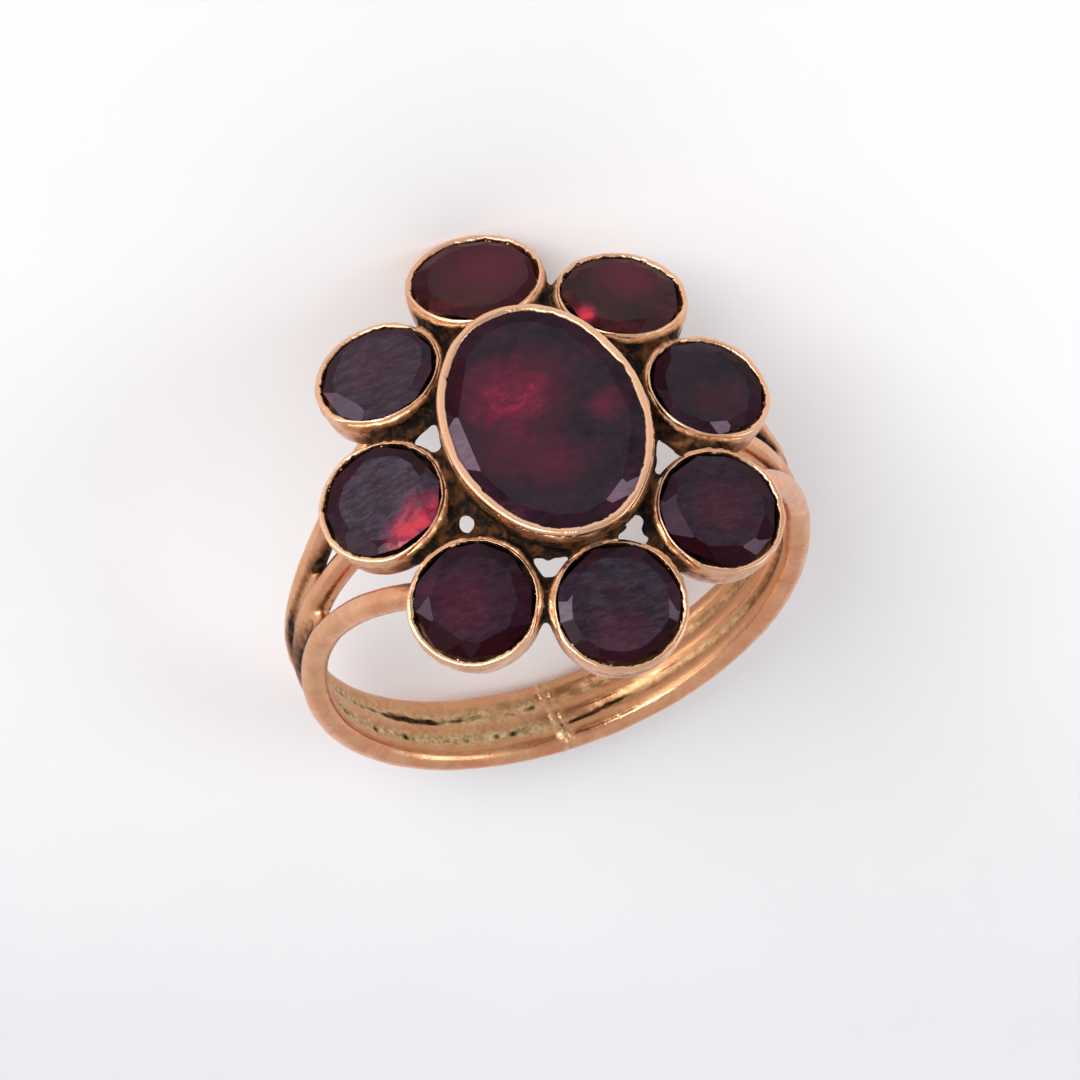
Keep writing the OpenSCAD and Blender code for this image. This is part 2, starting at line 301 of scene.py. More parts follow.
def bars():
    """Solder from collet to collet, from each to the oval one, and across the shoulders' forks."""
    out = []
    roots = [spot - BRIDGE_DOWN * axes[:, 2] for spot, axes in PLACES]
    edges = [open_r + LIP - BRIDGE_IN for _, _, open_r in STONES]
    for i in range(8):
        j = (i + 1) % 8
        d = unit(roots[j] - roots[i])
        out.append((roots[i] + edges[i] * d, roots[j] - edges[j] * d, BRIDGE_R))
        deg = STONES[i][0]
        start = roots[i] - edges[i] * PLACES[i][1][:, 0]
        out.append((start, spun(deg, oval_reach(deg) - 0.75, start[2]) + [*HEAD, 0], BRIDGE_R))
    for (side, row), (middle, axes, radius, turn) in ARCS.items():
        for t in np.linspace(0.02, WEB[side, row], WEB_BARS) * turn:
            p = middle + radius * (cos(t) * axes[:, 0] + sin(t) * axes[:, 1])
            q = p * [1, 0, 1]
            out.append((p, q * HOOP_R / np.linalg.norm(q), WEB_R))
    return out


BARS = bars()

# holes through the solder: outlines in millimetres right and up as the camera sees them
HOLES = [
    [(-4.51, 4.86), (-4.31, 5.06), (-4.24, 5.13), (-3.9, 5.42), (-3.8, 5.15), (-3.71, 4.72), (-3.81, 4.56),
     (-3.92, 4.55), (-4.13, 4.68), (-4.49, 4.81)],
    [(-2.55, 1.97), (-2.65, 1.83), (-2.81, 1.8), (-2.95, 1.89), (-2.98, 2.06), (-2.89, 2.2), (-2.73, 2.23),
     (-2.59, 2.13)],
    [(-0.43, 0.8), (-0.22, 0.82), (0.02, 0.74), (0.29, 0.84), (0.67, 0.86), (0.63, 0.74), (0.36, 0.46),
     (0.19, 0.29), (-0.09, 0.29), (-0.26, 0.46), (-0.43, 0.7)],
    [(2.46, 1.56), (2.73, 1.88), (3.05, 2.27), (3.15, 2.31), (3.26, 2.19), (3.15, 1.98), (3.1, 1.87),
     (3.24, 1.64), (3.37, 1.54), (3.28, 1.35), (2.97, 1.39), (2.5, 1.46)],
    [(3.83, 4.9), (4.14, 4.58), (4.57, 4.29), (4.48, 4.15), (4.14, 4.04), (3.88, 3.8), (3.74, 3.83),
     (3.8, 4.06), (3.81, 4.35), (3.8, 4.64)]]


def outline_distance(u, v, points):
    """Distance from a closed outline, negative inside."""
    best, inside = np.full(u.shape, 9.0), np.zeros(u.shape, bool)
    for k in range(len(points)):
        (ax, ay), (bx, by) = points[k - 1], points[k]
        ex, ey = bx - ax, by - ay
        t = held(((u - ax) * ex + (v - ay) * ey) / (ex * ex + ey * ey))
        best = np.minimum(best, np.hypot(u - ax - t * ex, v - ay - t * ey))
        crosses = (ay > v) != (by > v)
        inside ^= crosses & (u < ax + (v - ay) * ex / (ey if ey else 1))
    return np.where(inside, -best, best)


def head_dirt_and_shade(p):
    """How far points lie in the head's dirt and painted shade: 1 or more deep between collets or where two rims
    meet, about 0.8 on outer walls, where it is painted shade, 0 elsewhere. Also 1 on the rims' rubbed tops."""
    best, second, depth, flank, open_side = (np.full(p.shape[:-1], v) for v in (9.0, 9.0, 0.0, 0.0, 0.0))
    for i, (spot, axes) in enumerate(PLACES):
        q = (p - spot) @ axes
        r = np.hypot(q[..., 0], q[..., 1])
        near = np.abs(r - STONES[i][2] - LIP / 2)
        bare = held((q[..., 0] / np.maximum(r, 0.1) + 0.15) / 0.4)
        depth = np.where(near < best, -q[..., 2], depth)
        flank = np.where(near < best, (1 - bare) * held((r - STONES[i][2] - 0.12) / 0.06), flank)
        open_side = np.where(near < best, bare, open_side)
        close = near + 9 * (np.abs(q[..., 2]) > 0.7)
        second = np.minimum(second, np.maximum(close, best))
        best = np.minimum(near, best)
    q = p - CENTRE_AT
    near = np.abs(oval_side(q) + CENTRE_LIP / 2)
    depth = np.where(near < best, -q[..., 2], depth)
    flank, open_side = flank * (near >= best), open_side * (near >= best)
    best = np.minimum(near, best)
    inner = held((0.5 - cluster_edge(p)) / 0.5)
    neck = held((0.42 - second) / 0.14) * (best < 0.3)
    crest = held((0.26 - np.abs(depth)) / 0.12) * (best < 0.3) * (1 - flank) * (1 - neck)
    deep = inner * held((depth - 0.17) / 0.35) * held((3.4 - depth) / 1.2)
    deep = np.maximum(deep, 0.65 * flank * (best < 0.3) * (np.abs(depth) < 0.5))
    # painted shade: the collets' outer walls are darkened as if they faced shade
    wall = open_side * (best < 0.6) * held((depth - 0.16) / 0.3) * held((2.0 - depth) / 0.4)
    return np.maximum(np.maximum(deep, 0.8 * wall), 1.3 * neck), crest


def hoop_marks(p):
    """Marks on the inside of the shank: pale solder, black dirt, a painted highlight along the seam, and how far
    the seam stands out.
    """
    turn = np.degrees(np.arctan2(p[:, 0], -p[:, 2]))
    y = p[:, 1]
    inside = held((HOOP_R + 0.25 - np.hypot(p[:, 0], p[:, 2])) / 0.2) * (p[:, 2] < HOOP_TOP)
    n1, n2 = noise_b(p, 0.7), noise_c(p, 0.28)

    def band(centre, half, start, end):
        """A soft band round the hoop at y = centre, between two angles."""
        along = held((turn - start) / 4) * held((end - turn) / 4)
        return np.exp(-((y - centre) / half) ** 2) * along

    near, far = band(-0.5 + 0.04 * n1, 0.25, -72, 1), band(0.40 + 0.05 * n1, 0.34, -80, 0)
    right = band(-0.49 + 0.03 * n1, 0.13, 0, 60) + band(0.45, 0.13, 0, 66)
    pale = near * (0.9 + 0.3 * n1) + far * (0.75 + 0.3 * n1) + 0.6 * right
    spots = np.maximum(n2, 0)
    black = near ** 3 * (0.2 + spots + 0.3 * n1) + far ** 3 * (0.3 + 0.8 * spots + 0.35 * n1)
    black = black + 1.4 * band(0.26 + 0.05 * n1, 0.15, -47, -27) * (0.9 + 0.4 * n2) + right * (0.3 + 0.4 * n2)
    black = black + 1.1 * band(-0.68 + 0.015 * turn, 0.08, -1, 19)
    across = np.radians(turn + 0.6 + 0.65 * y + 0.25 * n2) * HOOP_R
    seam = np.exp(-(across / 0.08) ** 2) + 0.7 * np.exp(-((across - 0.3) / 0.12) ** 2)
    gap = np.exp(-((across - 0.16) / 0.05) ** 2)
    blob = np.exp(-((across - 0.1) ** 2 + (y + 0.95) ** 2) / 0.22 ** 2)
    seam, gap = seam * (np.abs(y) < 1.6), gap * (np.abs(y) < 1.6)
    # painted highlight: the seam's ridge is painted pale
    pale = pale * (1 - held(seam)) + 0.55 * seam + blob
    black = black * (1 - held(seam + blob)) + 0.45 * gap
    raised = 0.045 * seam - 0.03 * gap + 0.05 * blob
    return inside * held(pale), inside * held(black), inside * raised


def outer_wire_distance(p, row):
    """Distance from an outer wire with its two shoulders."""
    d = arc_distance(p, *hoop_row(row))
    for side in (-1, 1):
        d = np.minimum(d, arc_distance(p, *ARCS[side, row]))
    return d


def groove_distance(p):
    """Solder that nearly fills the grooves on the inside of the shank."""
    turn = np.degrees(np.arctan2(p[..., 0], -p[..., 2]))
    level = 8.60 + 0.16 * held(turn / 12) + 0.22 * held((np.abs(turn + 5) - 62) / 14)
    level = level + 0.07 * noise_b(p, 0.6) + 0.05 * noise_c(p, 0.3)
    r = np.hypot(p[..., 0], p[..., 2])
    return np.maximum.reduce([np.abs(p[..., 1]) - 0.75, level - r, r - HOOP_R, p[..., 2] - 1.5])


def cluster_edge(p):
    """Distance outside the polygon through the middles of the round stones."""
    edge = np.full(p.shape[:-1], -9.0)
    for k in range(8):
        a, b = PLACES[k][0], PLACES[(k + 1) % 8][0]
        out = unit(np.array([a[1] - b[1], b[0] - a[0]]))
        out = out if out @ (a[:2] - HEAD) > 0 else -out
        edge = np.maximum(edge, (p[..., :2] - a[:2]) @ out)
    return edge


def plate_distance(p):
    """Solder that fills the space between the oval collet and the round ones."""
    edge = cluster_edge(p)
    z = RIM_Z - 0.58 - 0.30 * edge + 0.13 * noise_b(p, 0.9)
    return np.maximum(np.abs(p[..., 2] - z) - 0.27, edge + 0.2) + 0.09 * noise_c(p, 0.45)


def see_through(p):
    """Positive inside the holes in the solder."""
    u, v = p @ CAM_RIGHT, p @ CAM_UP
    return -np.minimum.reduce([outline_distance(u, v, h) for h in HOLES])


# ---- the field round the metal
CELL = 0.105
LOW = np.array([-9.9, -10.6, -9.9])
HIGH = np.array([9.9, 9.1, 12.4])
SHAPE = np.ceil((HIGH - LOW) / CELL).astype(int) + 1
REACH = 0.8
# how widely metal melts together in the shank and in the head, which begins at HEAD_FROM
MELT, HEAD_MELT, HEAD_FROM = 0.1, 0.15, 8.4
heights = LOW[2] + CELL * np.arange(SHAPE[2])
melt = np.broadcast_to(MELT + (HEAD_MELT - MELT) * held(heights - HEAD_FROM), SHAPE)


def block(i0, i1):
    """Slices and points of the grid from cell i0 up to i1."""
    axes = [LOW[k] + CELL * np.arange(i0[k], i1[k]) for k in range(3)]
    return tuple(slice(i0[k], i1[k]) for k in range(3)), np.stack(np.meshgrid(*axes, indexing="ij"), -1)


def build_field():
    """Distances from the metal with its solder, and from the metal's plain shapes, on a grid."""
    total = np.zeros(SHAPE, np.float32)
    nearest = np.full(SHAPE, REACH, np.float32)

    def add(low, high, distance, shown=True):
        i0 = np.maximum(np.floor((np.asarray(low) - REACH - LOW) / CELL).astype(int), 0)
        i1 = np.minimum(np.ceil((np.asarray(high) + REACH - LOW) / CELL).astype(int) + 1, SHAPE)
        box, p = block(i0, i1)
        d = distance(p).astype(np.float32)
        total[box] += np.exp(-np.clip(d, -2.0, REACH) / melt[box]) - np.exp(-REACH / melt[box])
        if shown:
            np.minimum(nearest[box], d, out=nearest[box])

    add([-9.5, -0.5, -9.5], [9.5, 0.5, 9.5], ring_distance)
    for row, y0, y1 in ((-1, -6.0, -0.4), (1, 0.4, 6.0)):
        add([-9.5, y0, -9.5], [9.5, y1, 10.5], lambda p: outer_wire_distance(p, row))
    for i in range(8):
        spot, _ = PLACES[i]
        add(spot - 2.7, spot + [2.7, 2.7, 1.0], lambda p: round_distance(p, i))
    add(CENTRE_AT - [3.7, 5.0, CENTRE_H], CENTRE_AT + [3.7, 5.0, 0], oval_distance)
    for a, b, r in BARS:
        add(np.minimum(a, b) - r, np.maximum(a, b) + r, lambda p: bar_distance(p, a, b, r), False)
    add([-7, -8, 9], [7, 7, 11.6], plate_distance, False)
    add([-9.5, -0.75, -9.5], [9.5, 0.75, 1.5], groove_distance, False)
    melted = -melt * np.log(np.maximum(total, np.exp(-REACH / melt)))
    i0 = np.floor(([-6.5, -7.5, 8.9] - LOW) / CELL).astype(int)
    i1 = np.ceil(([6.5, 3.5, 12.2] - LOW) / CELL).astype(int)
    box, p = block(i0, i1)
    melted[box] = np.maximum(melted[box], see_through(p) + 0.05 + 0.04 * noise_c(p, 0.3))
    return melted, nearest


def in_opening(p):
    """Points over or in a stone's seat, where no solder shows."""
    hidden = np.zeros(len(p), bool)
    for i, (spot, axes) in enumerate(PLACES):
        q = (p - spot) @ axes
        hidden |= (np.hypot(q[:, 0], q[:, 1]) < STONES[i][2] + 0.13) & (np.abs(q[:, 2] + 0.4) < 0.7)
    q = p - CENTRE_AT
    d = oval_side(q)
    return hidden | ((d < -CENTRE_LIP + 0.16) & (np.abs(q[:, 2] + 0.9) < 1.2))


field, nearest = build_field()


def blur(a, n):
    """Box blur, n cells each way, twice."""
    for _ in range(2):
        for k in range(3):
            c = np.cumsum(np.concatenate([np.zeros_like(a.take([0], k)), a], k), k, dtype=np.float64)
            m = a.shape[k]
            hi = np.minimum(np.arange(m) + n + 1, m)
            lo = np.maximum(np.arange(m) - n, 0)
            width = (hi - lo).reshape([-1 if j == k else 1 for j in range(3)])
            a = ((c.take(hi, k) - c.take(lo, k)) / width).astype(np.float32)
    return a


solid = held(0.5 - field / CELL).astype(np.float32)
near_fill = blur(solid, 2)
far_fill = blur(solid, 7)


def sample(grid, p):
    """Trilinear values of a grid at points."""
    q = np.clip((p - LOW) / CELL, 0, SHAPE - 1.001)
    i = np.floor(q).astype(int)
    f = q - i
    return weighed(f, lambda *d: grid[tuple(i[:, k] + d[k] for k in range(3))])


def surface(f):
    """Surface nets: a mesh of quads where the field crosses zero."""
    inside = f < 0
    n = np.array(f.shape) - 1
    corner = list(np.ndindex(2, 2, 2))
    count = np.zeros(n, np.uint8)
    for dx, dy, dz in corner:
        count += inside[dx:dx + n[0], dy:dy + n[1], dz:dz + n[2]]
    cells = np.argwhere((count > 0) & (count < 8))
    number = np.full(n, -1, np.int64)
    number[tuple(cells.T)] = np.arange(len(cells))
    values = np.stack([f[tuple((cells + c).T)] for c in corner], 1)
    total, hits = np.zeros((len(cells), 3)), np.zeros(len(cells))
    for a in range(8):
        for b in range(a + 1, 8):
            if sum(x != y for x, y in zip(corner[a], corner[b])) != 1:
                continue
            va, vb = values[:, a], values[:, b]
            cross = (va < 0) != (vb < 0)
            t = np.where(cross, va / np.where(cross, va - vb, 1), 0)
            point = np.array(corner[a]) + t[:, None] * (np.array(corner[b]) - np.array(corner[a]))
            total += np.where(cross[:, None], point, 0)
            hits += cross
    verts = LOW + CELL * (cells + total / hits[:, None])
    quads = []
    for k in range(3):
        u, v = (k + 1) % 3, (k + 2) % 3
        lo = [slice(1, -1)] * 3
        lo[k] = slice(0, -1)
        hi = list(lo)
        hi[k] = slice(1, None)
        a, b = inside[tuple(lo)], inside[tuple(hi)]
        for flip, where in ((False, a & ~b), (True, b & ~a)):
            e = np.argwhere(where)
            du, dv = np.eye(3, dtype=int)[[u, v]]
            q = np.stack([number[tuple(r.T)] for r in (e, e + du, e + du + dv, e + dv)], 1)
            quads.append(q[:, ::-1] if flip else q)
    quads = np.concatenate(quads)
    return verts, quads[(quads >= 0).all(1)]


# ---- meshes
def crevice_of(p, normal):
    """How deep in a corner each point is, from 0 on an open edge to 1 in a deep crevice, and
    how far it is on a rubbed top. Sides of wires that face each other count as half deep, as painted shade with
    some tarnish; the collets' outer walls carry painted shade too."""
    near = sample(near_fill, p + 0.12 * normal)
    far = sample(far_fill, p + 0.45 * normal)
    deep, crest = head_dirt_and_shade(p)
    # painted shade, with some tarnish, on the sides of wires that face each other
    facing = np.where(np.abs(p[:, 1]) > 0.45, -normal[:, 1] * np.sign(p[:, 1]) - 0.1, np.abs(normal[:, 1]) - 0.45)
    between_tarnish_and_shade = held(facing / 0.45) * (np.abs(p[:, 0]) > 3.5)
    between_tarnish_and_shade = between_tarnish_and_shade * held(p[:, 2] / 1.5) * held((10.2 - p[:, 2]) / 0.6)
    deep = np.maximum(deep, 0.8 * between_tarnish_and_shade * (0.9 + 0.2 * noise_b(p, 0.9)))
    corner = 0.55 * (near - 0.18) / 0.4 + 0.9 * (far - 0.26) / 0.4
    corner = corner * np.where(p[:, 2] < 8.5, 1.3, 1.0)
    return held((corner + 0.66 * deep) * (1 - 0.9 * crest)), crest


def faces_out(verts, faces):
    """Turns a mesh's faces to the outside."""
    q = np.array([f for f in faces if len(f) == 4])
    p = verts - verts.mean(0)
    a, b, c, d = (p[q[:, k]] for k in range(4))
    volume = (a * np.cross(b, c)).sum() + (a * np.cross(c, d)).sum()
    return [f[::-1] for f in faces] if volume < 0 else faces


def show(name, data):
    """An object of these data in the scene."""
    obj = bpy.data.objects.new(name, data)
    bpy.context.scene.collection.objects.link(obj)
    return obj


def tell(mesh, where, **values):
    """What the material reads from a mesh's points or faces."""
    for key, value in values.items():
        mesh.attributes.new(key, "FLOAT", where).data.foreach_set("value", np.asarray(value, np.float32))


def add_mesh(name, verts, faces, material, solder=0.0, smooth=True):
    """A piece of the ring, inside the CAD's box, with what its material reads from its points."""
    mesh = bpy.data.meshes.new(name)
    placed = np.clip(to_part(verts), np.array(cad_box[0]) + 1e-6, np.array(cad_box[1]) - 1e-6)
    mesh.from_pydata(placed.tolist(), [], faces)
    mesh.validate()
    mesh.update()
    if smooth:
        mesh.polygons.foreach_set("use_smooth", np.ones(len(mesh.polygons), bool))
    normals = np.empty(len(mesh.vertices) * 3, np.float32)
    mesh.vertex_normals.foreach_get("vector", normals)
    normals = normals.reshape(-1, 3) @ LAY
    pale, black, _ = hoop_marks(verts)
    crevice, crest = crevice_of(verts, normals)
    # dirt in the crevices, with painted shade on the collets' outer walls and on facing wire sides
    tell(mesh, "POINT", crevice=np.maximum(crevice * (1 - 0.65 * pale), black),
         solder=np.maximum(solder, pale), stain=pale, crest=crest)
    mesh.materials.append(material)
    return show(name, mesh)


def grid_faces(rows, cols):
    """Quads of a grid of points whose rows are closed rings."""
    r, c = np.meshgrid(np.arange(rows - 1), np.arange(cols), indexing="ij")
    d = (c + 1) % cols
    q = np.stack([r * cols + c, r * cols + d, (r + 1) * cols + d, (r + 1) * cols + c], -1)
    return q.reshape(-1, 4).tolist()


def rim_profile(lip, wall_h, h, low_in, ridge=0.0):
    """A collet's section from inside its rim to its base: out from the opening, height, share of
    the wobble."""
    w = lip / LIP
    return np.array([
        [0.07, -0.34, 0], [0.035, -0.22, 0.5], [0.0, -0.16, 1], [0.008, -0.10, 1], [0.024 * w, -0.05, 0.9],
        [0.05 * w, -0.022, 0.7], [0.08 * w, -0.01, 0.5], [0.115 * w, -0.003, 0.35], [0.15 * w, -0.001, 0.25],
        [0.185 * w, -0.008, 0.2], [0.215 * w, -0.024, 0.15], [0.24 * w, -0.058, 0.1],
        [lip - 0.006 - 0.5 * ridge, -0.115, 0.1], [lip - ridge, -0.15, 0.1], [lip, -0.19, 0.2],
        [lip - 0.7 * ridge, -0.24, 0], [lip, -0.4 * wall_h - 0.12, 0],
        [lip, -wall_h, 0], [lip - 0.45 * low_in, -wall_h - 0.5 * (h - wall_h), 0],
        [lip - low_in, -h + 0.05, 0], [lip - low_in - 0.08, -h, 0]])


def collet(ring_of, axes, at, prof, n, seed, lip, bottom, narrow=np.ones_like):
    """A collet lathed round its opening, with an uneven rubbed rim. ring_of(phi, out) gives x, y.
    Where narrow(phi) is below 1 only an inner ridge of the rim is left."""
    phi = circle(n)
    thin = narrow(phi)
    wide = 1 + 0.12 * around(phi, seed) + 0.08 * around(phi, seed + 40, 3)
    nicks = np.maximum(around(phi, seed + 60, 12) - 0.45, 0)
    ragged = (0.030 * around(phi, seed + 80, 4) + 0.026 * around(phi, seed + 120, 8)
              + 0.014 * around(phi, seed + 140, 16) + 0.12 * nicks)
    sink = 0.03 * (around(phi, seed + 160) * 0.5 + 0.5) + 0.014 * (around(phi, seed + 200, 4) * 0.5 + 0.5)
    rows = []
    for k, (out, z, share) in enumerate(prof):
        o = out * wide + ragged * share
        drop = sink * (1 if z > -0.3 else 0.3)
        if z > -0.3 and out > 0.05:
            o = o * thin
            drop = drop + (1 - thin) * 0.12 * held((out - 0.12 * lip / LIP) / 0.14)
        o = np.minimum(o, lip)
        if out > 0.1:
            o = o + 0.016 * around(phi, seed + 240 + 0.35 * k, 2.4) - 0.016
        x, y = ring_of(phi, o)
        rows.append(np.stack([x, y, np.full_like(phi, z) - drop], -1))
    x, y = ring_of(phi, np.full_like(phi, bottom))
    rows.append(np.stack([x, y, np.full_like(phi, prof[-1][1])], -1))
    return np.concatenate(rows) @ axes.T + at, grid_faces(len(rows), n)


def tube(path, r, outward):
    """Points of a round bar along a path. outward is a direction at each point; r may vary."""
    along = np.gradient(path, axis=0)
    along /= np.linalg.norm(along, axis=1)[:, None]
    x = outward - (outward * along).sum(1)[:, None] * along
    x /= np.linalg.norm(x, axis=1)[:, None]
    y = np.cross(along, x)
    phi = circle(WIRE_SIDES)
    round_it = np.cos(phi)[None, :, None] * x[:, None] + np.sin(phi)[None, :, None] * y[:, None]
    return (path[:, None] + r[..., None] * round_it).reshape(-1, 3)


def wire(path, closed, seed):
    """A worn wire of the shank: flat towards the finger, with dents and a slightly uneven run."""
    n = WIRE_SIDES
    outward = path * [1, 0, 1]
    outward = outward / np.linalg.norm(outward, axis=1)[:, None]
    r = np.full((len(path), n), WIRE_R - 0.012)
    plain = tube(path, r, outward)
    r = r + (0.016 * noise_b(plain + seed, 1.6) + 0.010 * noise_c(plain + seed, 0.6)).reshape(len(path), n)
    r = np.minimum(r, WIRE_R - 0.002)
    p = tube(path, r, outward)
    # the side towards the finger is worn flat along the hoop
    reach = np.hypot(p[:, 0], p[:, 2])
    low = (reach < WEAR_R) & (p[:, 2] < HOOP_TOP)
    worn = np.where(low, WEAR_R, reach) - hoop_marks(p)[2]
    p[:, [0, 2]] *= (worn / reach)[:, None]
    last = (len(path) - 1) * n
    if closed:
        ends = [[last + k, last + (k + 1) % n, (k + 1) % n, k] for k in range(n)]
    else:
        ends = [list(range(n))[::-1], list(range(last, last + n))]
    return p, grid_faces(len(path), n) + ends


def join(parts):
    """One mesh of several, each with its faces to the outside."""
    verts, faces, base = [], [], 0
    for v, f in parts:
        verts.append(v)
        faces += [[base + k for k in q] for q in faces_out(v, f)]
        base += len(v)
    return np.concatenate(verts), faces


def closer_at_middle(n, endpoint=True):
    """Steps from -0.5 to 0.5, closer together in the middle, where the seam is."""
    u = np.linspace(-0.5, 0.5, n, endpoint=endpoint)
    return u * (0.3 + 0.7 * (2 * u) ** 2)


def outer_path(row):
    """An outer wire from the end of one shoulder, round the hoop, to the end of the other."""
    def arc(steps, middle, axes, radius, turn):
        a = steps * turn
        return middle + radius * (np.outer(np.cos(a), axes[:, 0]) + np.outer(np.sin(a), axes[:, 1]))

    even = np.linspace(0, 1, SHOULDER_STEPS)
    right, left = arc(even, *ARCS[1, row])[::-1], arc(even, *ARCS[-1, row])
    return np.concatenate([right[:-1], arc(closer_at_middle(HOOP_STEPS) + 0.5, *hoop_row(row)), left[1:]])


# ---- materials
class Graph:
    """Short names for building a node tree."""

    def __init__(self, tree):
        self.tree = tree

    def node(self, kind, inputs=(), out=0, **values):
        """One output of a new node, with its settings and inputs."""
        n = self.tree.nodes.new(kind)
        for key, value in values.items():
            setattr(n, key, value)
        for key, value in dict(inputs).items():
            self.plug(value, n.inputs[key])
        return n.outputs[out]

    def plug(self, value, socket):
        if isinstance(value, bpy.types.NodeSocket):
            self.tree.links.new(value, socket)
        else:
            socket.default_value = value

    def math(self, op, a, b, clamp=False):
        return self.node("ShaderNodeMath", {0: a, 1: b}, operation=op, use_clamp=clamp)

    def add(self, a, b, clamp=False):
        return self.math("ADD", a, b, clamp)

    def mul(self, a, b, clamp=False):
        return self.math("MULTIPLY", a, b, clamp)

    def span(self, x, low, high, to_low=0.0, to_high=1.0):
        """x from low..high to to_low..to_high, and no further."""
        return self.node("ShaderNodeMapRange", {0: x, 1: low, 2: high, 3: to_low, 4: to_high})

    def mix(self, f, a, b):
        return self.node("ShaderNodeMix", {0: f, 6: a, 7: b}, 2, data_type="RGBA")

    def vector(self, op, a, b):
        return self.node("ShaderNodeVectorMath", {0: a, 1: tuple(float(v) for v in b)}, "Value", operation=op)

    def along(self, vector, axis):
        """How far a vector reaches along an axis of the ring."""
        return self.vector("DOT_PRODUCT", vector, LAY @ unit(axis))

    def coords(self, scale=(1000, 1000, 1000), turn=(0, 0, 0)):
        """The part's own coordinates, in millimetres unless scaled otherwise."""
        place = self.node("ShaderNodeTexCoord", out="Object")
        return self.node("ShaderNodeMapping", {"Vector": place, "Scale": scale, "Rotation": turn})

    def noise(self, vector, scale, detail=3.0, rough=0.5, warp=0.0):
        return self.node("ShaderNodeTexNoise", {"Vector": vector, "Scale": scale, "Detail": detail,
                                                "Roughness": rough, "Distortion": warp})

    def attribute(self, name):
        return self.node("ShaderNodeAttribute", out="Fac", attribute_name=name)

    def bump(self, height, strength):
        """Normals from a height in millimetres."""
        return self.node("ShaderNodeBump", {"Strength": strength, "Distance": 0.001, "Height": height})


def new_material(name):
    """A material, its graph and its shader."""
    m = bpy.data.materials.new(name)
    m.use_nodes = True
    return m, Graph(m.node_tree), m.node_tree.nodes["Principled BSDF"]


def srgb(*screen):
    """A screen colour as Blender's linear one."""
    rgb = [v / 255 for v in screen]
    return (*(v / 12.92 if v <= 0.04045 else ((v + 0.055) / 1.055) ** 2.4 for v in rgb), 1.0)


def gold_material():
    """Rose gold with pale solder, rubbed tops, brown film and black dirt, painted shade on the collets' outer
    walls and on facing wire sides, and a painted highlight along the shank's seam.
    """
    m, g, shader = new_material("rose_gold_worn")
    p = g.coords()
    crevice, solder, stain, crest = (g.attribute(name) for name in ("crevice", "solder", "stain", "crest"))
    patches = g.noise(p, 0.8, 5, 0.68, 0.6)
    specks = g.noise(p, 3.5, 4, 0.65)
    fine = g.noise(p, 14, 3, 0.6)
    # clean gold: rose, with redder and yellower patches, and yellow solder in the joints
    gold = g.mix(g.span(patches, 0.35, 0.65), srgb(216, 147, 109), srgb(234, 178, 138))
    gold = g.mix(g.mul(solder, 0.35), gold, srgb(206, 160, 104))
    mottle = g.noise(p, 5.0, 4, 0.7, 0.5)
    # pale solder stains, and the painted highlight along the seam
    gold = g.mix(g.mul(stain, g.span(specks, 0.3, 0.6, 0.6, 1.0)), gold,
                 g.mix(g.span(mottle, 0.4, 0.6), srgb(176, 150, 90), srgb(242, 230, 192)))
    gold = g.mix(g.mul(crest, 0.65), gold, srgb(242, 196, 160))
    # tarnish: brown film where it is sheltered, black dirt in the crevices; the brown film is also painted shade
    # on the collets' outer walls and on wire sides that face each other
    dirt_and_shade_amount = g.add(crevice, g.mul(g.math("SUBTRACT", specks, 0.5), 0.55))
    dirt_and_shade_amount = g.add(dirt_and_shade_amount, g.mul(g.math("SUBTRACT", patches, 0.5), 0.35))
    film = g.span(dirt_and_shade_amount, 0.28, 0.6)
    grime = g.span(dirt_and_shade_amount, 0.6, 0.85)
    colour = g.mix(g.mul(film, 0.9), gold, g.mix(stain, srgb(136, 86, 50), srgb(128, 112, 66)))
    rust = g.noise(p, 2.1, 4, 0.6, 0.6)
    colour = g.mix(grime, colour, g.mix(g.span(rust, 0.45, 0.75), srgb(22, 15, 10), srgb(112, 68, 34)))
    g.plug(colour, shader.inputs["Base Color"])
    g.plug(g.math("SUBTRACT", 1.0, g.mul(grime, 0.8)), shader.inputs["Metallic"])
    rough = g.add(g.span(fine, 0.3, 0.7, 0.15, 0.27), g.mul(film, 0.18))
    rough = g.add(rough, g.mul(grime, 0.25))
    rough = g.add(rough, g.mul(g.add(stain, g.mul(crest, 0.4)), 0.2))
    rough = g.add(rough, g.mul(solder, 0.12))
    g.plug(rough, shader.inputs["Roughness"])
    g.plug(g.math("SUBTRACT", 0.5, g.mul(grime, 0.35)), shader.inputs["Specular IOR Level"])
    # hammer marks, pits and scratches
    scratches = g.add(g.noise(g.coords((260, 2600, 2600), (0.3, 0.5, 0.9)), 4.0, 2, 0.5),
                      g.noise(g.coords((2400, 300, 2400), (1.1, 0.2, 0.4)), 4.0, 2, 0.5))
    height = g.add(g.mul(g.noise(p, 1.6, 3, 0.5), 0.022), g.mul(fine, 0.003))
    height = g.add(height, g.mul(scratches, 0.004))
    height = g.add(height, g.mul(g.span(specks, 0.3, 0.42), 0.006))
    height = g.add(height, g.mul(g.add(specks, rust), g.mul(g.add(grime, stain), 0.04)))
    g.plug(g.bump(height, 0.8), shader.inputs["Normal"])
    return m


